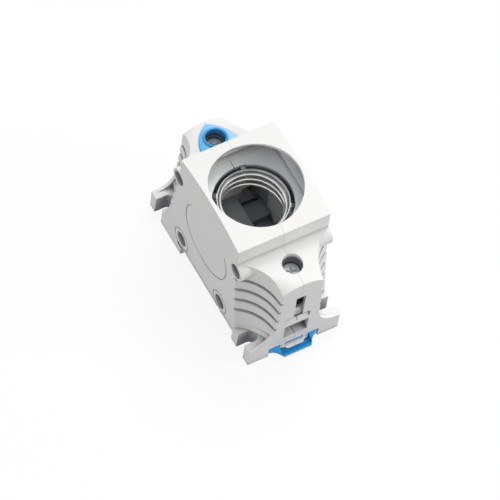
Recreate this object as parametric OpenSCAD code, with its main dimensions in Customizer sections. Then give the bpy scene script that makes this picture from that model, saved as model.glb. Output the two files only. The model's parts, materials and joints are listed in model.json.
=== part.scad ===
// Rail-mount base for a D-type DII (E27) screw-in fuse, one pole.
// X runs across the base, +Y points to the line terminal, -Y to the rail clip, Z is up.
// The origin lies on the fuse axis, in the plane of the feet.

/* [Housing] */
// Width over both shells
base_w = 41; // [39:0.5:46]
// Length over the two nose faces
base_l = 82.8; // [80:0.5:92]
// Height of the crown of the top plate above the feet
base_h = 63; // [60:0.5:70]
// Length of the raised block round the fuse opening
block_l = 47; // [46:0.5:52]
// Drop of the arched top plate from its crown to the ends of the block
top_sag = 2.9; // [1:0.1:5]
// Height of the shoulders where they leave the block
shoulder_z = 51.2; // [50:0.1:54]
// Height of the crown of the nose faces
nose_z = 48.3; // [46:0.1:50]
// Drop from the crown of a nose to its upper corners
nose_sag = 2.8; // [1:0.1:4]
// Width of a nose face at its upper corners
nose_w = 17.8; // [16.5:0.1:22]
// Thickness of the top plate and of the nose faces
skin = 1.5; // [1:0.1:2]
// Thickness of the walls of the block round the cap recess
block_wall = 1.2; // [0.9:0.1:1.4]

/* [Hollow corners] */
// Radius of the hollow corner walls at shoulder height
corner_r = 19.6; // [18.5:0.1:21]
// Taper of the corner walls, loss of radius per millimetre down
corner_taper = 0.034; // [0:0.002:0.06]
// Lean of the axis of a corner wall, in degrees
corner_lean = 5.35; // [3:0.05:7]
// Lowest height of the corner walls
corner_foot_z = 14.2; // [12:0.1:16]
// Number of grip grooves on each corner
groove_count = 4; // [1:1:4]
// Distance from one groove to the next
groove_pitch = 6.5; // [5:0.1:6.6]
// Height of a groove
groove_h = 1.9; // [1:0.1:2.4]
// Depth of a groove into the corner wall
groove_depth = 2; // [0.6:0.1:2.2]
// Fall of the grooves towards the nose, in degrees
groove_fall = 9; // [0:0.5:12]

/* [Feet and rail] */
// Height of the fixing ears
ear_h = 9.6; // [8:0.1:11]
// Width of the open fixing slots
slot_w = 5.35; // [4.5:0.05:6]
// Distance from a nose face to the middle of its slots
slot_set = 6.7; // [5.4:0.1:7.4]
// Distance from the middle plane to the round end of a slot
slot_end_x = 13.4; // [12.8:0.1:15]
// Width of the mounting rail over its flanges
rail_w = 35; // [34:0.1:36]
// Thickness of the rail's flanges
rail_t = 1; // [0.8:0.1:1.5]
// Height of the rail seat above the feet
rail_z = 5.45; // [5:0.05:6]
// Reach of the fixed hook under the rail
hook_grip = 2.1; // [1:0.1:3]
// Distance from the fuse axis to the inner end of the front foot plate
front_plate_y = 27.6; // [26:0.1:29]

/* [Joining rivets] */
// Radius of a rivet's shank
rivet_r = 1.5; // [1.2:0.05:1.7]
// Radius of a rivet's head
rivet_head_r = 2.9; // [2.4:0.05:3]
// Radius of the recess for a rivet head
recess_r = 3.35; // [3.2:0.05:3.5]
// Depth of the recess for a rivet head
recess_depth = 2.2; // [1.8:0.1:2.4]
// Height of the upper rivets
rivet_high_z = 46.4; // [46:0.1:46.6]
// Height of the lower rivets
rivet_low_z = 10.8; // [10.4:0.1:11]
// Distance of the lower rivets from the end walls of the fuse chamber
rivet_low_set = 4.7; // [4.2:0.1:5.7]
// Radius of the upper rivet bosses
boss_r = 4.5; // [4.2:0.1:4.7]

/* [Fuse opening and thread] */
// Radius of the opening for the screw cap
opening_r = 19; // [18:0.1:19.2]
// Height of the floor of the cap recess
recess_floor_z = 50.6; // [50:0.1:51]
// Radius of the well round the thread
well_r = 16.3; // [16:0.1:16.8]
// Pitch radius of the wire thread
coil_r = 13.25; // [13.1:0.05:13.4]
// Diameter of the thread wire
coil_wire = 1.3; // [1:0.05:1.4]
// Pitch of the thread
coil_pitch = 3.629; // [3.5:0.001:3.7]
// Number of turns of the thread
coil_turns = 2.9; // [2:0.1:3]
// Height of the upper end of the thread wire
coil_top_z = 49.3; // [48:0.1:49.3]
// Thickness of the sheet of the thread band
band_t = 0.5; // [0.3:0.05:0.7]
// Height of the thread band
band_h = 10; // [8.6:0.1:10.4]
// Thickness of the current bars
bar_t = 1.2; // [1:0.05:1.4]
// Width of the current bars in the terminals
bar_w = 8; // [6:0.1:8.4]
// Width of the bottom contact
contact_w = 15; // [14.6:0.1:16]
// Height of the ledge under the bottom contact
contact_floor_z = 13; // [12.8:0.1:13.4]
// Radius of the bore of the gauge-screw bush
bush_bore_r = 4; // [3:0.05:4.5]
// Height of the gauge-screw bush
bush_h = 7.5; // [6:0.1:8]

/* [Terminals] */
// Distance of the terminal screws from the nose faces
terminal_set = 9.6; // [9.2:0.05:9.8]
// Radius of the terminal screw thread
screw_r = 2.45; // [2:0.05:2.5]
// Radius of the terminal screw head
head_r = 4; // [3.6:0.05:4.1]
// Height of the terminal screw head
head_h = 3.3; // [2.6:0.1:3.5]
// Radius of the screwdriver holes
access_r = 4.25; // [4.1:0.05:4.4]
// Width of the clamp cages
cage_w = 10.8; // [10.6:0.1:11.2]
// Depth of the clamp cages along the conductor
cage_l = 10; // [8:0.1:10.4]
// Thickness of the sheet of the clamp cages
cage_t = 1; // [0.8:0.05:1.1]
// Height of the conductor space in an open clamp
wire_h = 9; // [8:0.1:9.2]
// Radius of the sides of the blue cover
cover_side_r = 17; // [16.8:0.1:17.4]
// Height of the blue cover above the shoulder
cover_proud = 0.5; // [0.2:0.1:0.8]

/* [Rail clip] */
// Width of the rail clip
clip_w = 21.8; // [20:0.1:22.4]
// Height of the underside of the clip above the feet
clip_z = 2; // [1.6:0.1:2.2]
// Travel of the clip when it is pulled out
clip_travel = 3.5; // [2.5:0.1:3.6]
// Reach of the pull lip in front of the nose
lip_reach = 4.1; // [3:0.1:5]
// Wire diameter of the clip springs
spring_wire = 0.5; // [0.3:0.05:0.6]
// Outer diameter of the clip springs
spring_d = 3.2; // [2.6:0.1:3.3]
// Turns of each clip spring
spring_turns = 6; // [5:1:7]

/* [Hidden] */
$fn = 48;

// Small values shared by several pieces
eps = 0.02;
far = 60;
slack = 0.3;
over = 1;

// Housing
half_w = base_w / 2;
half_l = base_l / 2;
terminal_y = half_l - terminal_set;
slot_y = half_l - slot_set;
block_y = block_l / 2;
arch_r = (block_y * block_y + top_sag * top_sag) / (2 * top_sag);
nose_x = nose_w / 2;
nose_r = (nose_x * nose_x + nose_sag * nose_sag) / (2 * nose_sag);
shoulder_slope = atan((shoulder_z - nose_z) / (half_l - block_y));

// Axis of a hollow corner at shoulder height, so that the wall starts at the block's corner
corner_x = nose_x + corner_r;
corner_y = block_y + sqrt(corner_r * corner_r - (corner_x - half_w) * (corner_x - half_w));
corner_top_z = shoulder_z + 2;
function corner_r_at(z) = corner_r - corner_taper * (shoulder_z - z);
function corner_y_at(z) = corner_y + (shoulder_z - z) * tan(corner_lean);
groove_top_z = 38.7;
groove_shift = 0.9;

// Ears
ear_rim = 1.4;
rim_r = 9.6;
rim_mid_x = half_w - 0.8;
rim_sweep = 85;
pocket_r = 14.9;
pocket_x = slot_end_x + pocket_r - 2;
pocket_y = half_l + 0.9;
pocket_h = corner_foot_z - ear_h + 2.5;

// Rail seat, hook and clip channel
rail_y = rail_w / 2;
hook_y = rail_y - hook_grip;
hook_root_y = rail_y + 1.1;
hook_gap_z = rail_z - rail_t - slack;
channel_w = clip_w + 2 * slack;
bridge_w = 12.8;
bridge_t = 1.2;
bridge_z = clip_z + 1;
shelf_reach = 1.8;
shelf_edge = 0.4;
shelf_t = 1.1;
driver_slot_w = 8.2;
driver_slot_z = 4.1;
driver_slot_h = 1.4;

// Chambers
pit_play = 0.4;
pit_front_y = terminal_y + cage_l / 2 + pit_play;
pit_back_y = terminal_y - cage_l / 2 - pit_play;
end_wall = 5.7;
chamber_x = half_w - 3.5;
chamber_y = pit_back_y - end_wall;
chamber_top_z = 38.5;
chamber_corner = 3.5;
pit_z = 9;
ledge_w = 0.9;
ledge_z = contact_floor_z + bar_t + 2.6;
ledge_h = 2.4;
back_window_x = contact_w / 2 + 0.8;
back_window_z = pit_z + 1;
back_window_w = 8;
back_window_h = contact_floor_z + bar_t + 6.4 - pit_z;
back_window_r = 1.5;
back_window_depth = 6;
rivet_low_y = chamber_y - rivet_low_set;
boss_block_y0 = rivet_low_y - 6;
boss_block_y1 = rivet_low_y + rivet_r + 0.4;
well_z = chamber_top_z - 1;

// Shallow lines on the sides: under the fuse chamber, round the lower rivets and round the plain field
relief_depth = 0.3;
side_line_z = rail_z + 1.4;
side_line_h = 0.4;
rivet_ring_r = 5.5;
rivet_ring_line = 0.5;
oval_y = 16.8;
oval_z = 14.8;
oval_mid_y = -1;
oval_mid_z = 34.5;
oval_line = 0.55;
oval_from = -215;
oval_to = 35;
oval_step = 10;

// Thread, band and bars
coil_end_angle = 190;
band_in_r = coil_r + coil_wire / 2 + 0.25;
band_r = band_in_r + band_t;
band_top_z = recess_floor_z - 0.6;
band_z = band_top_z - band_h;
band_tongue_z = band_z - 7;
band_rivet_r = 0.9;
band_rivet_x = 2.3;
band_rivet_z = band_tongue_z + 3.2;
rivet_flange = 0.6;
rivet_head_t = 0.5;
band_rivet_in_y = band_in_r - 1.1;
lug_w = 2.1;
lug_reach = 1.5;
lug_angles = [77, 146, 257, 326];
bar_z = 19.2;
bar_top = bar_z + bar_t;
bar_tab_top = bar_z + 8.1;
strip_y = band_r + 0.05;
strip_top_z = band_z - 0.6;
riser_y = chamber_y + 1.9;
bush_r = bush_bore_r + 1.6;
bush_flange_r = bush_r + 1.2;
bush_flange_t = 0.9;
contact_end = bush_flange_r + 2.5;
contact_top = contact_floor_z + bar_t;

// Terminals
cage_bottom_z = bar_z - wire_h - cage_t - 0.6;
cage_floor_z = cage_bottom_z + cage_t + 0.3;
cage_nut_z = bar_top + 0.4;
cage_nut_h = 4;
cage_top_z = cage_nut_z + cage_nut_h;
thread_clear = 0.05;
terminal_pit_z = cage_bottom_z - 0.3;
nose_in_y = half_l - skin;
shelf_z = 38.9;
head_z = shelf_z + 2;
head_top = head_z + head_h;
pocket_top = head_top + slack;
screw_end_z = bar_top + 0.35;
wire_window_w = cage_w;
wire_window_z = terminal_pit_z + 1.7;
wire_window_top = 18.4;
fork_slit_w = 10.7;
fork_slit_z = 22;
fork_slit_top = 24.3;
fork_chamfer_w = fork_slit_w + 0.4;
fork_chamfer_h = 2.2;
fork_chamfer_angle = 24;
test_window_w = 4.2;
test_window_top = 38.6;

// Blue cover of the line terminal
cover_x = 8.3;
cover_y0 = terminal_y - 6.8;
cover_t = 2.2;
collar_r = 5;
collar_bore_r = 4.15;
collar_z = 46.2;
collar_h = 8;
cover_gap = 0.1;

// Clip and springs
clip_top = rail_z - slack;
clip_tip_y = rail_y - 2;
clip_nose_top = rail_z - rail_t - 0.25;
lip_t = bridge_z - slack - clip_z;
lip_top = clip_z + lip_t + 0.7;
lip_rim = 1;
lip_end_x = 6.2;
spring_x = 7.5;
spring_z = clip_z + spring_d / 2;
spring_slot_w = spring_d + 1;
spring_stop_y = half_l - 6.6;
spring_stop_t = 1.2;
spring_back_y = rail_y + 7.3;
spring_slot_y = spring_stop_y + spring_stop_t + slack;
flange_w = 1.3;
flange_z = clip_z + 1.2;
flange_t = 1.2;
flange_y0 = front_plate_y + 0.6;
flange_y1 = half_l - skin - clip_travel - 0.6;

// Basic shapes
module bar_x(r, x0, x1, y, z) {
    translate([x0, y, z])
        rotate([0, 90, 0])
            cylinder(r = r, h = x1 - x0);
}

module slab(x, y0, y1, z0, z1) {
    translate([-x, y0, z0])
        cube([2 * x, y1 - y0, z1 - z0]);
}

// One copy on each side of the middle plane
module both_sides() {
    children();
    mirror([1, 0, 0]) children();
}

// One copy at each end of the base
module both_ends() {
    children();
    mirror([0, 1, 0]) children();
}

// Everything below the arched top plate, less a given thickness
module under_arch(less) {
    translate([0, 0, base_h - less - arch_r])
        rotate([0, 90, 0])
            cylinder(r = arch_r, h = 2 * far, center = true, $fn = 180);
}

function nose_top(x) = nose_z - nose_r + sqrt(nose_r * nose_r - x * x);
nose_steps = 12;

// Outline of the nose face with its crowned upper edge
module nose_outline() {
    polygon(concat(
        [[half_w, ear_h - 1], [-half_w, ear_h - 1]],
        [for (i = [-nose_steps : nose_steps])
            let (x = nose_x * i / nose_steps) [x, nose_top(x)]]
    ));
}

// Sloping shoulder and nose at the +Y end, before the corners are hollowed
module end_form() {
    hull() {
        slab(half_w, block_y - 1, block_y, ear_h - 1, shoulder_z);
        translate([0, half_l, 0])
            rotate([90, 0, 0])
                linear_extrude(0.2) nose_outline();
    }
}

// Leaning cone that hollows the corner at +X, +Y
module corner_cutter() {
    h = (corner_top_z - corner_foot_z) / cos(corner_lean);
    translate([corner_x, corner_y_at(corner_foot_z), corner_foot_z])
        rotate([corner_lean, 0, 0])
            cylinder(r1 = corner_r_at(corner_foot_z), r2 = corner_r_at(corner_top_z), h = h, $fn = 96);
}

// Grip grooves that follow the hollow corner at +X, +Y, and fall and run out towards the nose
module corner_grooves() {
    for (i = [0 : groove_count - 1]) {
        z = groove_top_z - i * groove_pitch;
        translate([corner_x + groove_shift, corner_y_at(z), z])
            rotate([-groove_fall, 0, 0])
                translate([0, 0, -groove_h / 2])
                    cylinder(r = corner_r_at(z) + groove_depth, h = groove_h, $fn = 96);
    }
}

// Clearance over the ear for the head of a fixing screw
module ear_pocket() {
    translate([pocket_x, pocket_y, ear_h])
        cylinder(r = pocket_r, h = pocket_h, $fn = 96);
}

// Rim that joins the nose face to the ears in a hollow curve
module nose_rim() {
    function rim_point(a) = [rim_mid_x - rim_r * sin(a), ear_h + rim_r * (1 - cos(a))];
    curve = [for (a = [0 : rim_sweep / 10 : rim_sweep]) rim_point(a)];
    both_sides()
        translate([0, half_l, 0])
            rotate([90, 0, 0])
                linear_extrude(ear_rim)
                    polygon(concat(
                        [[-over, 0], [half_w, 0], [half_w, ear_h]], curve, [[-over, curve[10][1]]]
                    ));
}

module ear_slot() {
    slot_r = slot_w / 2;
    slot_h = ear_h + over + eps;
    translate([slot_end_x + slot_r, slot_y, -over]) {
        cylinder(r = slot_r, h = slot_h);
        translate([0, -slot_r, 0]) cube([far, slot_w, slot_h]);
    }
}

module rivet_bosses() {
    both_ends()
        both_sides()
            bar_x(boss_r, 11.8, half_w, block_y, rivet_high_z);
}

// Outer form of the closed base
module outer_form() {
    intersection() {
        slab(half_w, -block_y, block_y, rail_z, base_h);
        under_arch(0);
    }
    difference() {
        both_ends() end_form();
        both_ends() both_sides() corner_cutter();
        both_ends() both_sides() corner_grooves();
        both_ends() both_sides() ear_pocket();
    }
    slab(half_w, -half_l, half_l, rail_z, ear_h);
    slab(half_w, -half_l, -front_plate_y, 0, ear_h);
    slab(half_w, hook_y, half_l, 0, ear_h);
    both_ends() nose_rim();
    rivet_bosses();
    clip_bridge_shelf();
}

// Sloping shelf in front of the bridge over the clip, where a screwdriver rests
module clip_bridge_shelf() {
    y = -half_l;
    intersection() {
        translate([0, 0, bridge_z])
            linear_extrude(shelf_t)
                polygon([
                    [-bridge_w / 2, y + skin], [-bridge_w / 2, y - 0.5], [-4.2, y - 0.9],
                    [-4, y - shelf_reach + 0.3], [-3, y - shelf_reach],
                    [3, y - shelf_reach], [4, y - shelf_reach + 0.3],
                    [4.2, y - 0.9], [bridge_w / 2, y - 0.5], [bridge_w / 2, y + skin]
                ]);
        translate([-bridge_w, 0, bridge_z])
            rotate([90, 0, 90])
                linear_extrude(2 * bridge_w)
                    polygon([
                        [y + 2 * skin, -over], [y - shelf_reach - over, -over],
                        [y - shelf_reach, shelf_edge], [y, shelf_t], [y, shelf_t + over],
                        [y + 2 * skin, shelf_t + over]
                    ]);
    }
}

// Recess for the screw cap, the well round the thread and the chamber for the fuse
module fuse_space() {
    translate([0, 0, recess_floor_z])
        cylinder(r = opening_r, h = far, $fn = 96);
    intersection() {
        slab(half_w - block_wall, -block_y + block_wall, block_y - block_wall, recess_floor_z, base_h);
        under_arch(skin);
    }
    translate([0, 0, well_z])
        cylinder(r = well_r, h = recess_floor_z - well_z + eps, $fn = 96);
    for (a = lug_angles)
        rotate([0, 0, a])
            translate([band_r - 0.5, -lug_w / 2 - slack, band_top_z - band_t - slack])
                cube([lug_reach + 0.5 + slack, lug_w + 2 * slack, far]);
    difference() {
        translate([0, 0, contact_floor_z])
            linear_extrude(chamber_top_z - contact_floor_z) chamber_outline();
        // ledge along the back wall over the bottom contact
        translate([-far, chamber_y - ledge_w, ledge_z])
            cube([far + contact_w / 2 + 0.6, ledge_w + over, ledge_h]);
    }
    // pits on both sides of the bottom contact
    side_pit_x = contact_w / 2 + slack;
    side_pit_w = chamber_x - side_pit_x;
    side_pit_h = contact_floor_z - pit_z + eps;
    both_sides() {
        translate([side_pit_x, -boss_block_y0, pit_z])
            cube([side_pit_w, 2 * boss_block_y0, side_pit_h]);
        both_ends()
            translate([side_pit_x, boss_block_y1, pit_z])
                cube([side_pit_w - 1, chamber_y - boss_block_y1, side_pit_h]);
        // window in the back wall beside the bottom contact
        translate([back_window_x, chamber_y + back_window_depth, back_window_z])
            rotate([90, 0, 0])
                linear_extrude(back_window_depth + eps)
                    window_outline(back_window_w, back_window_h, back_window_r);
    }
    // seat of the gauge-screw bush
    translate([0, 0, contact_floor_z - bush_h + bush_flange_t + bar_t - slack])
        cylinder(r = bush_r + slack, h = bush_h);
}

// Outline of a window with rounded upper corners
module window_outline(w, h, r) {
    polygon(concat(
        [[0, 0], [w, 0]],
        [for (a = [0 : 15 : 90]) [w - r + r * cos(a), h - r + r * sin(a)]],
        [for (a = [90 : 15 : 180]) [r + r * cos(a), h - r + r * sin(a)]]
    ));
}

module chamber_outline() {
    c = chamber_corner;
    polygon([
        [-chamber_x + c, -chamber_y], [chamber_x - c, -chamber_y], [chamber_x, -chamber_y + c],
        [chamber_x, chamber_y - 2 * c], [chamber_x - 0.6, chamber_y], [-chamber_x + 0.6, chamber_y],
        [-chamber_x, chamber_y - 2 * c], [-chamber_x, -chamber_y + c]
    ]);
}

// Space of the clamp, windows and screw pocket of the terminal at the +Y end
module terminal_space() {
    cage_x = cage_w / 2 + 0.4;
    slab(cage_x, pit_back_y, pit_front_y, terminal_pit_z, shelf_z);
    slab(cage_x, pit_back_y, nose_in_y, wire_window_z, shelf_z);
    slab(wire_window_w / 2, pit_front_y, far, wire_window_z, wire_window_top);
    slab(fork_slit_w / 2, pit_front_y, far, fork_slit_z, fork_slit_top);
    slab(test_window_w / 2, pit_front_y, far, fork_slit_z + 1, test_window_top);
    // chamfer under the fork slit
    translate([-fork_chamfer_w / 2, half_l, fork_slit_z - fork_chamfer_h])
        rotate([fork_chamfer_angle, 0, 0])
            cube([fork_chamfer_w, 2, fork_chamfer_h + 1.2]);
    translate([0, terminal_y, 0]) {
        translate([0, 0, shelf_z - eps]) cylinder(r = screw_r + slack, h = head_z - shelf_z + 2 * eps);
        translate([0, 0, head_z]) cylinder(r = head_r + 0.6, h = pocket_top - head_z);
    }
}

// Plan of the blue cover: two arcs that meet at the tip
module cover_plan(grow) {
    intersection() {
        translate([-cover_x, cover_y0, 0]) circle(r = cover_side_r + grow, $fn = 96);
        translate([cover_x, cover_y0, 0]) circle(r = cover_side_r + grow, $fn = 96);
        translate([-far, cover_y0 - grow]) square([2 * far, far]);
    }
}

// Half space below a plane parallel to the shoulder
module below_shoulder(up) {
    translate([0, block_y, shoulder_z + up])
        rotate([-shoulder_slope, 0, 0])
            translate([-far, -far, -2 * far]) cube([2 * far, 3 * far, 2 * far]);
}

module cover_seat() {
    difference() {
        translate([0, 0, collar_z])
            linear_extrude(far) cover_plan(cover_gap);
        below_shoulder(-cover_t - cover_gap + cover_proud);
    }
    translate([0, terminal_y, collar_z - cover_gap])
        cylinder(r = collar_r + cover_gap, h = far);
    translate([0, terminal_y, pocket_top - eps])
        cylinder(r = collar_bore_r - 0.5, h = collar_h);
}

module load_access() {
    translate([0, -terminal_y, pocket_top + 1.6])
        cylinder(r = access_r, h = far);
    translate([0, -terminal_y, pocket_top - eps])
        cylinder(r = access_r - 0.45, h = far);
}

// Slots that let the bars through the inner walls
module bar_ways() {
    way_x = bar_w / 2 + slack;
    slab(way_x, -pit_back_y - eps, -chamber_y + eps, bar_z - slack, bar_top + slack);
    riser_end_y = riser_y + bar_t + slack;
    slab(contact_w / 2 + slack, chamber_y - eps, riser_end_y, contact_floor_z, contact_top + slack);
    slab(way_x, riser_y - slack, riser_end_y, contact_floor_z, bar_top + slack);
    slab(way_x, riser_y - slack, pit_back_y + eps, bar_z - slack, bar_top + slack);
}

// Channel under the front foot plate in which the clip slides
module clip_channel() {
    difference() {
        slab(channel_w / 2, -half_l - far, -front_plate_y + eps, -1, rail_z);
        slab(bridge_w / 2, -half_l - shelf_reach - 1, -half_l + bridge_t, bridge_z, rail_z + 1);
        both_sides()
            translate([spring_x - 1.5, -spring_stop_y - spring_stop_t, clip_z + 0.4])
                cube([3, spring_stop_t, far]);
    }
    slab(driver_slot_w / 2, -half_l - 1, -half_l + bridge_t + eps, driver_slot_z,
        driver_slot_z + driver_slot_h);
    both_sides()
        translate([channel_w / 2 - eps, -half_l + skin, flange_z - slack])
            cube([flange_w + eps, half_l - skin - front_plate_y + eps, flange_t + 2 * slack]);
}

module rail_space() {
    slab(far, -front_plate_y, hook_y, -1, rail_z);
    slab(far, hook_y - eps, hook_root_y, hook_gap_z, rail_z + 0.15);
}

module rivet_hole(y, z) {
    bar_x(rivet_r + 0.1, -far, far, y, z);
    both_sides() bar_x(recess_r, half_w - recess_depth, far, y, z);
}

function oval_point(a, w) = [oval_mid_y + (oval_y + w) * cos(a), oval_mid_z + (oval_z + w) * sin(a)];

// Shallow line, open at the top, round the plain field on each side
module side_field() {
    translate([half_w - relief_depth, 0, 0])
        rotate([90, 0, 90])
            linear_extrude(over)
                polygon(concat(
                    [for (a = [oval_from : oval_step : oval_to]) oval_point(a, 0)],
                    [for (a = [oval_to : -oval_step : oval_from]) oval_point(a, -oval_line)]
                ));
}

// Shallow lines on the outside of the side walls
module side_relief() {
    both_sides() {
        side_field();
        translate([half_w - relief_depth, -front_plate_y, side_line_z])
            cube([over, front_plate_y + hook_y, side_line_h]);
        for (y = [-rivet_low_y, rivet_low_y])
            difference() {
                bar_x(rivet_ring_r, half_w - relief_depth, far, y, rivet_low_z);
                bar_x(rivet_ring_r - rivet_ring_line, half_w - over, far, y, rivet_low_z);
            }
    }
}

module whole_housing() {
    difference() {
        outer_form();
        fuse_space();
        both_ends() terminal_space();
        load_access();
        cover_seat();
        bar_ways();
        clip_channel();
        rail_space();
        both_ends() both_sides() ear_slot();
        both_ends() rivet_hole(block_y, rivet_high_z);
        both_ends() rivet_hole(rivet_low_y, rivet_low_z);
        side_relief();
    }
}

module left_housing() {
    color([0.93, 0.93, 0.91])
        intersection() {
            whole_housing();
            translate([-far, -far, -1]) cube([far, 2 * far, 2 * far]);
        }
}

module right_housing() {
    color([0.93, 0.93, 0.91])
        intersection() {
            whole_housing();
            translate([0, -far, -1]) cube([far, 2 * far, 2 * far]);
        }
}

// Blue cover over the line terminal
module line_terminal_cover() {
    color([0.36, 0.68, 0.93])
        difference() {
            union() {
                intersection() {
                    translate([0, 0, collar_z])
                        linear_extrude(far) cover_plan(0);
                    below_shoulder(cover_proud);
                    difference() {
                        slab(far, -far, far, 0, base_h);
                        below_shoulder(cover_proud - cover_t);
                    }
                }
                intersection() {
                    translate([0, terminal_y, collar_z]) cylinder(r = collar_r, h = collar_h);
                    below_shoulder(cover_proud + 0.5);
                }
            }
            translate([0, terminal_y, 0]) cylinder(r = collar_bore_r, h = base_h);
        }
}

// Rivet with a domed head on the left and a rolled rim on the right
module joining_rivet(y, z) {
    head_x = half_w - recess_depth;
    color([0.45, 0.46, 0.48]) {
        translate([0, y, z])
            rotate([0, -90, 0])
                rotate_extrude($fn = 64)
                    polygon([
                        [0, -head_x - 1.1], [rivet_r + 0.5, -head_x - 1.1],
                        [rivet_head_r - 0.2, -head_x - 0.7], [rivet_head_r - 0.3, -head_x],
                        [rivet_r, -head_x], [rivet_r, head_x],
                        [rivet_head_r, head_x], [rivet_head_r, head_x + 0.5],
                        [rivet_head_r * 0.75, head_x + 1.1], [rivet_head_r * 0.4, head_x + 1.4],
                        [0, head_x + 1.5]
                    ]);
    }
}

module rivet_upper_front() {
    joining_rivet(-block_y, rivet_high_z);
}

module rivet_upper_back() {
    joining_rivet(block_y, rivet_high_z);
}

module rivet_lower_front() {
    joining_rivet(-rivet_low_y, rivet_low_z);
}

module rivet_lower_back() {
    joining_rivet(rivet_low_y, rivet_low_z);
}

// One ring of points of the wire, A degrees along a helix of radius R and rise PITCH a turn
full_turn = 360;
function helix_ring(a, sides, r, wire, pitch) =
    let (lead = atan(pitch / (2 * PI * r)), z = pitch * a / full_turn)
    [for (k = [0 : sides - 1])
        let (t = full_turn * k / sides, u = wire / 2 * cos(t), v = wire / 2 * sin(t))
        [
            (r + u) * cos(a) + v * sin(lead) * sin(a),
            (r + u) * sin(a) - v * sin(lead) * cos(a),
            z + v * cos(lead)
        ]
    ];

// Wire wound along a helix about Z
module wire_helix(r, wire, turns, pitch, steps, sides) {
    n = round(turns * steps);
    points = [for (i = [0 : n]) each helix_ring(full_turn * turns * i / n, sides, r, wire, pitch)];
    walls = [for (i = [0 : n - 1]) for (k = [0 : sides - 1])
        let (a = i * sides + k, b = i * sides + (k + 1) % sides) [a, a + sides, b + sides, b]];
    start = [for (k = [0 : sides - 1]) k];
    end = [for (k = [sides - 1 : -1 : 0]) n * sides + k];
    polyhedron(points = points, faces = concat([start], walls, [end]));
}

// Wire thread for the screw cap
module thread_coil() {
    color([0.85, 0.85, 0.84])
        translate([0, 0, coil_top_z - coil_turns * coil_pitch])
            rotate([0, 0, coil_end_angle - full_turn * coil_turns])
                wire_helix(coil_r, coil_wire, coil_turns, coil_pitch, 40, 10);
}

module band_ring(z0, z1) {
    h = z1 - z0;
    translate([0, 0, z0])
        difference() {
            cylinder(r = band_r, h = h, $fn = 96);
            translate([0, 0, -over]) cylinder(r = band_in_r, h = h + 2 * over, $fn = 96);
        }
}

// Cylinder along Y for a band rivet, from Y0 to Y1 in front of the axis
module band_rivet_at(x, r, y0, y1) {
    translate([x, -y0, band_rivet_z])
        rotate([90, 0, 0])
            cylinder(r = r, h = y1 - y0, $fn = 32);
}

// Sheet ring that carries the thread wire, with lugs that seat in the shells
module thread_band() {
    color([0.62, 0.63, 0.64])
        difference() {
            union() {
                band_ring(band_z, band_top_z);
                intersection() {
                    band_ring(band_tongue_z, band_z + 1);
                    slab(bar_w / 2, -far, 0, 0, far);
                }
                for (a = lug_angles)
                    rotate([0, 0, a])
                        translate([band_r - band_t / 2, -lug_w / 2, band_top_z - band_t])
                            cube([lug_reach + band_t / 2, lug_w, band_t]);
            }
            band_rivet_holes();
        }
}

module band_rivet_holes() {
    for (x = [-band_rivet_x, band_rivet_x])
        band_rivet_at(x, band_rivet_r + eps, band_rivet_in_y, strip_y + bar_t + over);
}

// Two rivets that join the tongue of the band to the load bar
module band_rivets() {
    y0 = band_rivet_in_y;
    y1 = strip_y + bar_t + eps;
    color([0.75, 0.72, 0.66])
        for (x = [-band_rivet_x, band_rivet_x]) {
            band_rivet_at(x, band_rivet_r, y0, y1 + rivet_head_t);
            band_rivet_at(x, band_rivet_r + rivet_flange, y0, y0 + rivet_head_t);
            band_rivet_at(x, band_rivet_r + rivet_flange, y1, y1 + rivet_head_t + eps);
        }
}

// Bar from the thread band to the load terminal, with an upturned end behind the test window
module load_bar() {
    x = bar_w / 2;
    tab_y = nose_in_y - 0.4;
    color([0.72, 0.70, 0.66])
        difference() {
            union() {
                slab(x, -strip_y - bar_t, -strip_y, bar_z, strip_top_z);
                slab(x, -tab_y, -strip_y, bar_z, bar_top);
                slab(x, -tab_y, -tab_y + bar_t, bar_z, bar_tab_top);
            }
            band_rivet_holes();
        }
}

// Bottom contact with the bar that rises to the line terminal
module bottom_contact() {
    x = bar_w / 2;
    tab_y = nose_in_y - 0.4;
    color([0.72, 0.71, 0.69])
        difference() {
            union() {
                slab(contact_w / 2, -contact_end, riser_y, contact_floor_z, contact_top);
                slab(x, riser_y - eps, riser_y + bar_t, contact_floor_z, bar_top);
                slab(x, riser_y, tab_y, bar_z, bar_top);
                slab(x, tab_y - bar_t, tab_y, bar_z, bar_tab_top);
            }
            translate([0, 0, contact_floor_z - over]) cylinder(r = bush_r, h = bar_t + 2 * over);
        }
}

// Flanged bush that takes the gauge screw
module gauge_bush() {
    color([0.80, 0.66, 0.36])
        translate([0, 0, contact_top + bush_flange_t - bush_h])
            difference() {
                union() {
                    cylinder(r = bush_r, h = bush_h);
                    translate([0, 0, bush_h - bush_flange_t])
                        cylinder(r = bush_flange_r, h = bush_flange_t);
                }
                translate([0, 0, -over]) cylinder(r = bush_bore_r, h = bush_h + 2 * over);
            }
}

// Terminal screw with a cross recess, at the +Y end
module terminal_screw() {
    cross_w = 0.9;
    cross_l = 4.8;
    cross_depth = 1.7;
    edge = 0.5;
    color([0.80, 0.80, 0.79])
        translate([0, terminal_y, 0])
            difference() {
                union() {
                    translate([0, 0, screw_end_z]) cylinder(r = screw_r, h = head_z - screw_end_z + over);
                    translate([0, 0, head_z + eps])
                        cylinder(r = head_r, h = head_h - edge - eps);
                    translate([0, 0, head_z + head_h - edge])
                        cylinder(r1 = head_r, r2 = head_r - edge, h = edge);
                }
                for (a = [20, 110])
                    rotate([0, 0, a])
                        translate([-cross_l / 2, -cross_w / 2, head_top - cross_depth])
                            cube([cross_l, cross_w, cross_depth + over]);
            }
}

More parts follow.
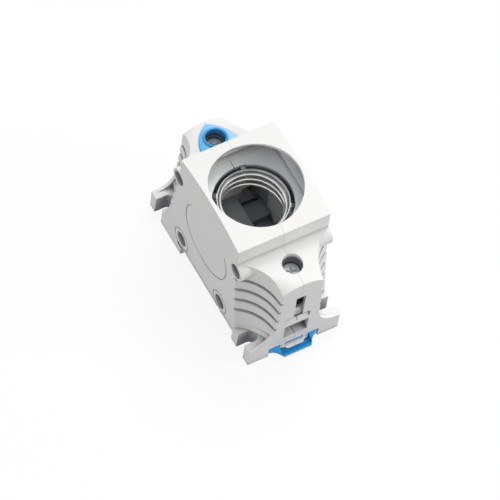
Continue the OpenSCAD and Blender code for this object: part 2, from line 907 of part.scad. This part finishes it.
// Clamp cage of a terminal at the +Y end, in its open position
module clamp_cage() {
    x = cage_w / 2;
    y0 = terminal_y - cage_l / 2;
    y1 = terminal_y + cage_l / 2;
    color([0.66, 0.66, 0.65])
        difference() {
            slab(x, y0, y1, cage_bottom_z, cage_top_z);
            slab(x - cage_t, y0 - over, y1 + over, cage_floor_z, cage_nut_z);
            translate([0, terminal_y, cage_nut_z - over])
                cylinder(r = screw_r + thread_clear, h = cage_nut_h + 2 * over);
        }
}

module line_screw() {
    terminal_screw();
}

module line_clamp() {
    clamp_cage();
}

module load_screw() {
    mirror([0, 1, 0]) terminal_screw();
}

module load_clamp() {
    mirror([0, 1, 0]) clamp_cage();
}

// Plan of the clip's front up to Y1, whose flanks run in a hollow curve to the pull lip
module lip_plan(x, y1) {
    flank = [for (t = [0 : 0.2 : 1]) [x - (x - lip_end_x) * t, -half_l - lip_reach * pow(t, 2.2)]];
    both_sides()
        polygon(concat([[-over, y1], [x, y1]], flank, [[-over, -half_l - lip_reach]]));
}

// Sliding clip that locks the base on the rail, with its pull lip
module rail_clip() {
    x = clip_w / 2;
    y = -half_l;
    body_y = y + bridge_t + clip_travel + 0.4;
    arm_x = bridge_w / 2 + slack;
    color([0.16, 0.56, 0.83])
        difference() {
            union() {
                slab(x, body_y, -rail_y - slack, clip_z, clip_top);
                slab(x, -rail_y - 2, -clip_tip_y, clip_z, clip_nose_top);
                slab(driver_slot_w / 2 - slack, y + 0.15, body_y + eps, driver_slot_z + 0.2,
                    driver_slot_z + 1.2);
                translate([0, 0, clip_z]) linear_extrude(lip_t) lip_plan(x, body_y + over);
                // arms beside the bridge, whose tops run down to the lip
                intersection() {
                    translate([0, 0, clip_z]) linear_extrude(clip_top - clip_z) lip_plan(x, body_y + over);
                    both_sides()
                        translate([arm_x, 0, 0])
                            rotate([90, 0, 90])
                                linear_extrude(x)
                                    polygon([
                                        [body_y + over, 0], [body_y + over, clip_top + over],
                                        [y - 0.1, clip_top + over], [y - 0.1, clip_top],
                                        [y - lip_reach + lip_rim, lip_top], [y - lip_reach + lip_rim, 0]
                                    ]);
                }
                intersection() {
                    translate([0, 0, clip_z]) linear_extrude(lip_top - clip_z) lip_plan(x, body_y + over);
                    slab(x, y - lip_reach, y - lip_reach + lip_rim, 0, far);
                }
                slab(x + flange_w, -flange_y1, -flange_y0, flange_z, flange_z + flange_t);
            }
            both_sides()
                translate([spring_x - spring_slot_w / 2, -spring_slot_y, clip_z - over])
                    cube([spring_slot_w, spring_slot_y - spring_back_y, far]);
            // bevel that rides over the rail's flange
            translate([-far, -clip_tip_y - 1.4, clip_nose_top + 0.4])
                rotate([-40, 0, 0]) cube([2 * far, 6, 4]);
        }
}

// Spring that pushes the clip towards the rail
module clip_spring(x) {
    length = spring_stop_y - spring_back_y - 0.2;
    r = (spring_d - spring_wire) / 2;
    pitch = (length - spring_wire) / spring_turns;
    color([0.75, 0.75, 0.75])
        translate([x, -spring_back_y - 0.1 - spring_wire / 2, spring_z])
            rotate([90, 0, 0])
                wire_helix(r, spring_wire, spring_turns, pitch, 14, 6);
}

module clip_spring_left() {
    clip_spring(-spring_x);
}

module clip_spring_right() {
    clip_spring(spring_x);
}

left_housing();
right_housing();
line_terminal_cover();
rivet_upper_front();
rivet_upper_back();
rivet_lower_front();
rivet_lower_back();
thread_coil();
thread_band();
band_rivets();
load_bar();
load_screw();
load_clamp();
bottom_contact();
gauge_bush();
line_screw();
line_clamp();
rail_clip();
clip_spring_left();
clip_spring_right();
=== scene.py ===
# Base for a screw-in fuse on a mounting rail: finishes, fine detail, light and camera.
# Everything is in metres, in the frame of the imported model.
import json
import math

import bpy
from mathutils import Matrix, Vector


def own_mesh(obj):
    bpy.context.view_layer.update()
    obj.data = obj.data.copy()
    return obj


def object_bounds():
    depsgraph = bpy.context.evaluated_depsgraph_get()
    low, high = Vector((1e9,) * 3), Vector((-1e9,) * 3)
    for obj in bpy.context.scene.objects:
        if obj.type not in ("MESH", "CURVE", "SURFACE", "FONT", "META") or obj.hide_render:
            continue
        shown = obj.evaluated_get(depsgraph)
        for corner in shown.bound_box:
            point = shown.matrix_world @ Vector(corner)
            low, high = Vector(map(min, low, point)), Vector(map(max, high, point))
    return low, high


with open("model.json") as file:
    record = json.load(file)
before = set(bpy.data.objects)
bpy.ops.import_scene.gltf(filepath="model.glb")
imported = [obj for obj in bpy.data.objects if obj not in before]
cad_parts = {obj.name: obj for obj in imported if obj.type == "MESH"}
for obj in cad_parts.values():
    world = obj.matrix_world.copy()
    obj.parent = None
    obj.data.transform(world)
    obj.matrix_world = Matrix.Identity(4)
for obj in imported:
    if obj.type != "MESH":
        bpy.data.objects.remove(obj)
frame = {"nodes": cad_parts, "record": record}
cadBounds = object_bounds()
cadNodes = frame["nodes"]
sideX, endY, topZ = cadBounds[1]
print("Frame loaded with", len(cadNodes), "nodes")


# Node helpers. Rays of the soft shading and of the rounded edges, and the span that most noise lies in.
helperSetup = {"hollowRays": 6, "edgeRays": 4, "noiseSpan": (0.3, 0.7)}


def linearColour(rgb):
    # colours are written as 0 to 255, and are taken from the screen's curve to linear light
    return [(c / 255 / 12.92 if c < 10.3 else ((c / 255 + 0.055) / 1.055) ** 2.4) for c in rgb] + [1]


def addNode(tree, kind, inputs=None, **settings):
    made = tree.nodes.new(kind)
    for key, value in settings.items():
        setattr(made, key, value)
    for key, value in (inputs or {}).items():
        if isinstance(value, bpy.types.NodeSocket):
            tree.links.new(value, made.inputs[key])
        else:
            made.inputs[key].default_value = value
    return made


def startMaterial(name):
    material = bpy.data.materials.new(name)
    material.use_nodes = True
    tree = material.node_tree
    place = addNode(tree, "ShaderNodeTexCoord").outputs["Object"]
    return material, tree, tree.nodes["Principled BSDF"], place


def addNoise(tree, place, size, detail=2.0, rough=0.5, stretch=(1, 1, 1)):
    # size is the width of one blot, in metres
    scaled = addNode(tree, "ShaderNodeMapping", {"Vector": place, "Scale": stretch}).outputs[0]
    settings = {"Vector": scaled, "Scale": 1 / size, "Detail": detail, "Roughness": rough}
    return addNode(tree, "ShaderNodeTexNoise", settings).outputs["Fac"]


def addMath(tree, operation, first, second=0.0, third=0.0):
    made = addNode(tree, "ShaderNodeMath", operation=operation)
    for socket, value in zip(made.inputs, (first, second, third)):
        if isinstance(value, bpy.types.NodeSocket):
            tree.links.new(value, socket)
        else:
            socket.default_value = value
    return made.outputs[0]


def addRange(tree, value, low, high, outLow, outHigh):
    settings = {"Value": value, "From Min": low, "From Max": high, "To Min": outLow, "To Max": outHigh}
    return addNode(tree, "ShaderNodeMapRange", settings).outputs[0]


def addMix(tree, factor, first, second):
    made = addNode(tree, "ShaderNodeMix", data_type="RGBA")
    for socket, value in zip((made.inputs[k] for k in (0, 6, 7)), (factor, first, second)):
        if isinstance(value, bpy.types.NodeSocket):
            tree.links.new(value, socket)
        else:
            socket.default_value = value
    return made.outputs[2]


def addBump(tree, height, depth, strength=1.0, under=None):
    # depth is the height of the bump in metres
    made = addNode(tree, "ShaderNodeBump", {"Height": height, "Distance": depth, "Strength": strength})
    if under is not None:
        tree.links.new(under, made.inputs["Normal"])
    return made.outputs[0]


def hollows(tree, reach, closed, clear):
    # 0 deep in a hollow narrower than reach, 1 on an open face
    rays = helperSetup["hollowRays"]
    sky = addNode(tree, "ShaderNodeAmbientOcclusion", {"Distance": reach}, samples=rays).outputs["AO"]
    return addRange(tree, sky, closed, clear, 0, 1)


def insideBox(tree, place, box):
    # 1 where all three coordinates lie between the box's limits
    inside = 1.0
    for value, (low, high) in zip(place, box):
        inside = addMath(tree, "MULTIPLY", inside, addMath(tree, "GREATER_THAN", value, low))
        inside = addMath(tree, "MULTIPLY", inside, addMath(tree, "LESS_THAN", value, high))
    return inside


def roundEdges(tree, radius):
    return addNode(tree, "ShaderNodeBevel", {"Radius": radius}, samples=helperSetup["edgeRays"]).outputs[0]


def setRoughness(tree, shader, noise, limits):
    spread = addRange(tree, noise, *helperSetup["noiseSpan"], *limits)
    tree.links.new(spread, shader.inputs["Roughness"])


# Off-white moulded shells. A box holds the limits of x, y and z, and all but the chamber's are folded
# onto the side where x and y are above 0. A hollow holds its reach, and how open it is where the painted
# shade is full and where it ends. A noise holds its size, detail and roughness, a bump its depth and
# strength.
housingFinish = {
    "colour": (240, 239, 235),
    "cloud": (235, 234, 230),
    "cloudNoise": (0.02, 3),
    # painted shade: the inside of the chamber, the same plastic, coloured darker and bluer
    "chamber": (176, 184, 192),
    "chamberBox": ((-0.0170, 0.0170), (-0.0140, 0.0205), (0.0, 0.0378)),
    # painted light: the recess coloured paler and cooler
    "recess": (249, 250, 251),
    "recessBox": ((0.0, sideX - 0.0008), (0.0, 0.0192), (0.0, topZ - 0.0023)),
    "mouthBox": ((0.0, 0.0075), (endY - 0.0079, endY - 0.0002), (0.0095, 0.0392)),
    "screwHoleBox": ((0.0, 0.0050), (endY - 0.0152, endY - 0.0038), (0.0180, 0.0484)),
    "slotBox": ((0.0125, sideX + 0.0005), (endY - 0.0099, endY - 0.0033), (0.0, 0.0094)),
    "joint": (196, 195, 192),
    "jointHalf": 0.00007,
    "innerJoint": (34, 37, 42),
    "innerJointHalf": 0.00013,
    # painted shade colour for grooves, hollows, narrow holes and under the rim
    "hollow": (92, 98, 106),
    "fineHollow": (0.003, 0.2, 0.8),
    "wideHollow": (0.011, 0.03, 0.3),
    "narrowHollow": (0.009, 0.16, 0.86),
    # painted shade, darker towards the rim of the recess: two heights, and the share of light left at each
    "underRimShade": (topZ - 0.0110, topZ - 0.0018, 1.0, 0.28),
    "roughness": (0.42, 0.52),
    "grainNoise": (0.00035, 3, 0.6),
    "grainBump": (0.000012, 0.6),
    "waveNoise": (0.012, 1),
    "waveBump": (0.00012, 0.5),
    "edge": 0.00025,
    "ior": 1.48,
}


def housingColour(tree, place, finish):
    cloud = addNoise(tree, place, *finish["cloudNoise"])
    plain = addMix(tree, cloud, linearColour(finish["colour"]), linearColour(finish["cloud"]))
    x, y, z = addNode(tree, "ShaderNodeSeparateXYZ", {"Vector": place}).outputs
    folded = (addMath(tree, "ABSOLUTE", x), addMath(tree, "ABSOLUTE", y), z)
    chamber = insideBox(tree, (x, y, z), finish["chamberBox"])
    recess = insideBox(tree, folded, finish["recessBox"])
    mouth = insideBox(tree, folded, finish["mouthBox"])
    screwHole = insideBox(tree, folded, finish["screwHoleBox"])
    slot = insideBox(tree, folded, finish["slotBox"])

    # painted light and shade: the recess is coloured paler and cooler, and the chamber, which lies within
    # the recess's box, is coloured darker blue-grey over it
    plain = addMix(tree, recess, plain, linearColour(finish["recess"]))
    plain = addMix(tree, chamber, plain, linearColour(finish["chamber"]))

    # the line where the two shells meet, darker where it lies inside
    inner = addMath(tree, "MAXIMUM", recess, mouth)
    half = addRange(tree, inner, 0, 1, finish["jointHalf"], finish["innerJointHalf"])
    joint = addMath(tree, "LESS_THAN", folded[0], half)
    seam = addMix(tree, inner, linearColour(finish["joint"]), linearColour(finish["innerJoint"]))
    plain = addMix(tree, joint, plain, seam)

    # painted shade: darker colour in grooves, hollows and narrow holes, and under the rim of the recess
    fine = hollows(tree, *finish["fineHollow"])
    lit = addMath(tree, "MULTIPLY", fine, hollows(tree, *finish["wideHollow"]))
    narrow = addMath(tree, "MAXIMUM", addMath(tree, "MAXIMUM", slot, mouth), screwHole)
    under = addRange(tree, z, *finish["underRimShade"])
    for where, shade in ((narrow, hollows(tree, *finish["narrowHollow"])), (recess, under)):
        lit = addMath(tree, "MULTIPLY", lit, addRange(tree, where, 0, 1, 1, shade))
    return addMix(tree, lit, linearColour(finish["hollow"]), plain)


def housingPlastic(finish):
    material, tree, shader, place = startMaterial("housing_plastic")
    tree.links.new(housingColour(tree, place, finish), shader.inputs["Base Color"])
    grain = addNoise(tree, place, *finish["grainNoise"])
    setRoughness(tree, shader, grain, finish["roughness"])
    wave = addNoise(tree, place, *finish["waveNoise"])
    under = addBump(tree, wave, *finish["waveBump"], roundEdges(tree, finish["edge"]))
    tree.links.new(addBump(tree, grain, *finish["grainBump"], under), shader.inputs["Normal"])
    shader.inputs["IOR"].default_value = finish["ior"]
    return material


# Blue moulded pieces: the cover of the line terminal, coloured paler to the right as painted light and
# with painted shade on its collar, and the rail clip; both are darker in hollows as painted shade
blueFinish = {
    "cloudNoise": (0.008, 2),
    "wideHollow": (0.011, 0.05, 0.5),
    "grainNoise": (0.0004, 3, 0.6),
    "grainBump": (0.000008, 0.5),
    "edge": 0.0003,
    "ior": 1.5,
}
coverFinish = {
    "name": "cover_plastic",
    "colour": (96, 186, 240),
    "cloud": (88, 179, 236),
    "hollow": (34, 60, 92),
    "roughness": (0.25, 0.35),
    "paintedLight": (176, 220, 248),
    "paintedLightHalf": 0.007,
    # painted shade colour of the collar ring
    "collarShade": (46, 160, 224),
    "collarY": endY - 0.0096,
    "collarR": 0.0051,
    "collarBlur": 0.00015,
}
clipFinish = {
    "name": "clip_plastic",
    "colour": (6, 162, 238),
    "cloud": (5, 154, 230),
    "hollow": (7, 104, 168),
    "roughness": (0.31, 0.41),
}


def coverColour(tree, place, colour, finish):
    x, y, z = addNode(tree, "ShaderNodeSeparateXYZ", {"Vector": place}).outputs
    # painted light: the cover is coloured paler towards +x, as if lit from the right
    paintedLight = addRange(tree, x, -finish["paintedLightHalf"], finish["paintedLightHalf"], 0, 1)
    colour = addMix(tree, paintedLight, colour, linearColour(finish["paintedLight"]))
    # painted shade: a deeper blue ring inside the collar's radius, for its inclined face
    ahead = addMath(tree, "SUBTRACT", y, finish["collarY"])
    squares = [addMath(tree, "MULTIPLY", d, d) for d in (x, ahead)]
    reach = addMath(tree, "SQRT", addMath(tree, "ADD", *squares))
    radius, blur = finish["collarR"], finish["collarBlur"]
    ring = addRange(tree, reach, radius - blur, radius + blur, 1, 0)
    return addMix(tree, ring, colour, linearColour(finish["collarShade"]))


def bluePlastic(finish):
    material, tree, shader, place = startMaterial(finish["name"])
    cloud = addNoise(tree, place, *blueFinish["cloudNoise"])
    colour = addMix(tree, cloud, linearColour(finish["colour"]), linearColour(finish["cloud"]))
    if "collarShade" in finish:
        colour = coverColour(tree, place, colour, finish)
    # painted shade: darker colour in hollows
    lit = hollows(tree, *blueFinish["wideHollow"])
    colour = addMix(tree, lit, linearColour(finish["hollow"]), colour)
    tree.links.new(colour, shader.inputs["Base Color"])
    grain = addNoise(tree, place, *blueFinish["grainNoise"])
    setRoughness(tree, shader, grain, finish["roughness"])
    bump = addBump(tree, grain, *blueFinish["grainBump"], roundEdges(tree, blueFinish["edge"]))
    tree.links.new(bump, shader.inputs["Normal"])
    shader.inputs["IOR"].default_value = blueFinish["ior"]
    return material


# Metals: colour, a second colour in blots, roughness, and the marks' size, stretch and depth. A metal
# that is dulled by its plating says how metallic it still is.
metalFinish = {
    "blotNoise": (0.004, 3),
    "blotSpan": (0.35, 0.65),
    "markNoise": (4, 0.65),
    "markStrength": 0.6,
    "edge": 0.00015,
}
metalFinishes = {
    "thread_steel": {
        "colour": (236, 236, 234),
        "blot": (216, 216, 214),
        "roughness": (0.12, 0.2),
        "markSize": 0.0015,
        "stretch": (1, 1, 0.3),
        "depth": 0.000004,
    },
    "band_steel": {
        "metallic": 0.8,
        "colour": (222, 224, 226),
        "blot": (206, 208, 210),
        "roughness": (0.16, 0.26),
        "markSize": 0.0006,
        "stretch": (0.3, 0.3, 3),
        "depth": 0.000006,
        # painted shade colour of the lugs outside the ring, and where it applies
        "lugs": (84, 88, 94),
        "lugsFrom": 0.0149,
        "lugsBackY": 0.010,
    },
    "plated_copper": {
        "metallic": 0.15,
        "colour": (244, 245, 246),
        "blot": (232, 233, 234),
        "roughness": (0.3, 0.45),
        "markSize": 0.0012,
        "stretch": (1, 0.35, 1),
        "depth": 0.00001,
    },
    "screw_steel": {
        "metallic": 0.3,
        "colour": (250, 252, 254),
        "blot": (232, 235, 238),
        "roughness": (0.24, 0.4),
        "markSize": 0.0007,
        "stretch": (1, 1, 1),
        "depth": 0.000008,
    },
    "clamp_steel": {
        "colour": (172, 172, 168),
        "blot": (148, 148, 145),
        "roughness": (0.35, 0.5),
        "markSize": 0.0008,
        "stretch": (1, 1, 0.4),
        "depth": 0.00001,
    },
    "bush_brass": {
        "colour": (214, 180, 108),
        "blot": (190, 152, 82),
        "roughness": (0.22, 0.36),
        "markSize": 0.0005,
        "stretch": (1, 1, 4),
        "depth": 0.000005,
    },
    "rivet_steel": {
        "colour": (86, 92, 100),
        "blot": (58, 63, 70),
        "roughness": (0.25, 0.42),
        "markSize": 0.0006,
        "stretch": (1, 1, 1),
        "depth": 0.000012,
    },
    "spring_steel": {
        "colour": (190, 190, 190),
        "blot": (150, 150, 150),
        "roughness": (0.2, 0.32),
        "markSize": 0.0005,
        "stretch": (1, 1, 1),
        "depth": 0.000004,
    },
}


def shadeLugs(tree, place, colour, finish):
    # painted shade: the lugs outside the ring are coloured dark, as they stand in the shade, apart from
    # those at its back
    x, y, z = addNode(tree, "ShaderNodeSeparateXYZ", {"Vector": place}).outputs
    flat = addNode(tree, "ShaderNodeCombineXYZ", {"X": x, "Y": y}).outputs[0]
    reach = addNode(tree, "ShaderNodeVectorMath", {"Vector": flat}, operation="LENGTH").outputs["Value"]
    outer = addMath(tree, "GREATER_THAN", reach, finish["lugsFrom"])
    front = addMath(tree, "LESS_THAN", y, finish["lugsBackY"])
    return addMix(tree, addMath(tree, "MULTIPLY", outer, front), colour, linearColour(finish["lugs"]))


def metal(name, finish):
    material, tree, shader, place = startMaterial(name)
    marks = addNoise(tree, place, finish["markSize"], *metalFinish["markNoise"], finish["stretch"])
    blots = addNoise(tree, place, *metalFinish["blotNoise"])
    blots = addRange(tree, blots, *metalFinish["blotSpan"], 0, 1)
    colour = addMix(tree, blots, linearColour(finish["colour"]), linearColour(finish["blot"]))
    if "lugs" in finish:
        colour = shadeLugs(tree, place, colour, finish)
    tree.links.new(colour, shader.inputs["Base Color"])
    setRoughness(tree, shader, marks, finish["roughness"])
    shader.inputs["Metallic"].default_value = finish.get("metallic", 1.0)
    edges = roundEdges(tree, metalFinish["edge"])
    bump = addBump(tree, marks, finish["depth"], metalFinish["markStrength"], edges)
    tree.links.new(bump, shader.inputs["Normal"])
    return material


# Soft shading that keeps the real edges sharp, on every carried-over node
smoothSetup = {"angle": 28, "weld": 0.000002}


def smoothByAngle(setup):
    group = bpy.data.node_groups.new("smooth_by_angle", "GeometryNodeTree")
    group.interface.new_socket("Geometry", in_out="INPUT", socket_type="NodeSocketGeometry")
    group.interface.new_socket("Geometry", in_out="OUTPUT", socket_type="NodeSocketGeometry")
    start = group.nodes.new("NodeGroupInput").outputs[0]
    welding = {"Geometry": start, "Distance": setup["weld"]}
    shape = addNode(group, "GeometryNodeMergeByDistance", welding).outputs[0]
    edgeAngle = group.nodes.new("GeometryNodeInputMeshEdgeAngle").outputs[0]
    soft = addMath(group, "LESS_THAN", edgeAngle, math.radians(setup["angle"]))
    for domain, smooth in (("FACE", True), ("EDGE", soft)):
        shading = {"Geometry": shape, "Shade Smooth": smooth}
        shape = addNode(group, "GeometryNodeSetShadeSmooth", shading, domain=domain).outputs[0]
    end = group.nodes.new("NodeGroupOutput")
    group.links.new(shape, end.inputs[0])
    return group


smoothGroup = smoothByAngle(smoothSetup)


def dress(name, material):
    piece = cadNodes[name]
    piece.data.materials.clear()
    piece.data.materials.append(material)
    modifier = piece.modifiers.new("smooth", "NODES")
    modifier.node_group = smoothGroup


materials = {
    "housing_plastic": housingPlastic(housingFinish),
    "cover_plastic": bluePlastic(coverFinish),
    "clip_plastic": bluePlastic(clipFinish),
}
for slotName, finish in metalFinishes.items():
    materials[slotName] = metal(slotName, finish)
for part in frame["record"]["subparts"]:
    dress(part["node"], materials[part["material_slot"]])
print("Finishes on", len(cadNodes), "nodes")

# The springs that hold the rail clip in are pressed together as it is drawn out, and their end at the
# lowest y stands against the housing. Here each spring only gets a mesh of its own.
springSetup = {"pieces": ("clip_spring_left", "clip_spring_right"), "joint": "rail_clip_slide"}


def pressSprings(setup):
    for name in setup["pieces"]:
        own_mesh(cadNodes[name])


pressSprings(springSetup)

# Camera at the photograph's angle
cameraSetup = {
    "target": (0, 0, 0.030),
    "azimuth": -36.604,
    "elevation": 59.089,
    "roll": 9.379,
    "distance": 1.8,
    "lens": 327.09,
    "slideRight": 0.00024,
    "slideUp": -0.00932,
    "sensor": 36,
    "near": 0.1,
    "far": 20,
}


def addCamera(setup):
    azimuth, elevation, roll = (math.radians(setup[k]) for k in ("azimuth", "elevation", "roll"))
    flat = math.cos(elevation)
    back = Vector((math.sin(azimuth) * flat, -math.cos(azimuth) * flat, math.sin(elevation)))
    level = Vector((math.cos(azimuth), math.sin(azimuth), 0))
    upright = back.cross(level)
    right = level * math.cos(roll) + upright * math.sin(roll)
    up = upright * math.cos(roll) - level * math.sin(roll)
    data = bpy.data.cameras.new("camera")
    data.lens = setup["lens"]
    data.sensor_width = setup["sensor"]
    data.clip_start = setup["near"]
    data.clip_end = setup["far"]
    camera = bpy.data.objects.new("camera", data)
    bpy.context.scene.collection.objects.link(camera)
    place = Vector(setup["target"]) + back * setup["distance"]
    place += right * setup["slideRight"] + up * setup["slideUp"]
    camera.matrix_world = Matrix.Translation(place) @ Matrix((right, up, back)).transposed().to_4x4()
    bpy.context.scene.camera = camera


addCamera(cameraSetup)
print("Camera in place")

# White floor that keeps a faint shadow and throws little light back, and a white world behind it
stageSetup = {
    "floorHalf": 3,
    "floorDrop": 0.00005,
    "floorColour": (250, 250, 250),
    "paperCloud": (244, 244, 244),
    "paperNoise": (0.05, 3),
    "paperRoughness": 0.9,
    "thrownColour": (126, 129, 132),
    "shadowShare": 0.12,
    "ambient": 0.56,
    "ambientColour": (250, 251, 255),
}


def seenDirectly(tree):
    # 1 where the camera looks, or a gloss or a clear material shows it
    rays = addNode(tree, "ShaderNodeLightPath")
    seen = addMath(tree, "MAXIMUM", rays.outputs["Is Camera Ray"], rays.outputs["Is Glossy Ray"])
    return addMath(tree, "MAXIMUM", seen, rays.outputs["Is Transmission Ray"])


def addFloor(setup):
    half = setup["floorHalf"]
    mesh = bpy.data.meshes.new("floor")
    corners = [(-half, -half, 0), (half, -half, 0), (half, half, 0), (-half, half, 0)]
    mesh.from_pydata(corners, [], [(0, 1, 2, 3)])
    floor = bpy.data.objects.new("floor", mesh)
    floor.location.z = cadBounds[0].z - setup["floorDrop"]
    bpy.context.scene.collection.objects.link(floor)
    material, tree, shader, place = startMaterial("floor_paper")
    seen = seenDirectly(tree)
    clouds = addNoise(tree, place, *setup["paperNoise"])
    paper = addMix(tree, clouds, linearColour(setup["floorColour"]), linearColour(setup["paperCloud"]))
    paper = addMix(tree, seen, linearColour(setup["thrownColour"]), paper)
    tree.links.new(paper, shader.inputs["Base Color"])
    shader.inputs["Roughness"].default_value = setup["paperRoughness"]
    shader.inputs["Specular IOR Level"].default_value = 0.0
    white = addNode(tree, "ShaderNodeEmission", {"Color": (1, 1, 1, 1), "Strength": 1.0}).outputs[0]
    share = addMath(tree, "MULTIPLY", seen, 1 - setup["shadowShare"])
    mixed = addNode(tree, "ShaderNodeMixShader", {"Fac": share})
    tree.links.new(shader.outputs[0], mixed.inputs[1])
    tree.links.new(white, mixed.inputs[2])
    tree.links.new(mixed.outputs[0], tree.nodes["Material Output"].inputs["Surface"])
    mesh.materials.append(material)


def addWorld(setup):
    world = bpy.data.worlds.new("studio")
    world.use_nodes = True
    tree = world.node_tree
    seen = seenDirectly(tree)
    strength = addRange(tree, seen, 0, 1, setup["ambient"], 1.0)
    background = tree.nodes["Background"]
    colour = addMix(tree, seen, linearColour(setup["ambientColour"]), (1, 1, 1, 1))
    tree.links.new(colour, background.inputs["Color"])
    tree.links.new(strength, background.inputs["Strength"])
    bpy.context.scene.world = world


addFloor(stageSetup)
addWorld(stageSetup)

# Soft lamps: where each stands, its width and height, and its power in watts. Gloss shows the white
# world and not the lamps.
lampSetup = {
    "aim": (0, 0, 0.03),
    "lamps": {
        "overhead": {"place": (0.5, 0.45, 1.1), "size": (0.6, 0.6), "power": 7.9},
        "front_right": {"place": (0.85, -0.65, 0.5), "size": (0.6, 0.6), "power": 5.5},
        "left_fill": {"place": (-1.1, -0.15, 0.18), "size": (0.6, 0.3), "power": 2.2},
    },
}


def addLamp(name, setup, target):
    data = bpy.data.lights.new(name, "AREA")
    data.shape = "RECTANGLE"
    data.size, data.size_y = setup["size"]
    data.energy = setup["power"]
    lamp = bpy.data.objects.new(name, data)
    lamp.location = setup["place"]
    lamp.visible_glossy = False
    aim = Vector(target) - lamp.location
    lamp.rotation_euler = aim.to_track_quat("-Z", "Y").to_euler()
    bpy.context.scene.collection.objects.link(lamp)


for lampName, lampValues in lampSetup["lamps"].items():
    addLamp(lampName, lampValues, lampSetup["aim"])
bpy.context.scene.view_settings.view_transform = "Standard"
print("Stage and", len(lampSetup["lamps"]), "lamps in place")
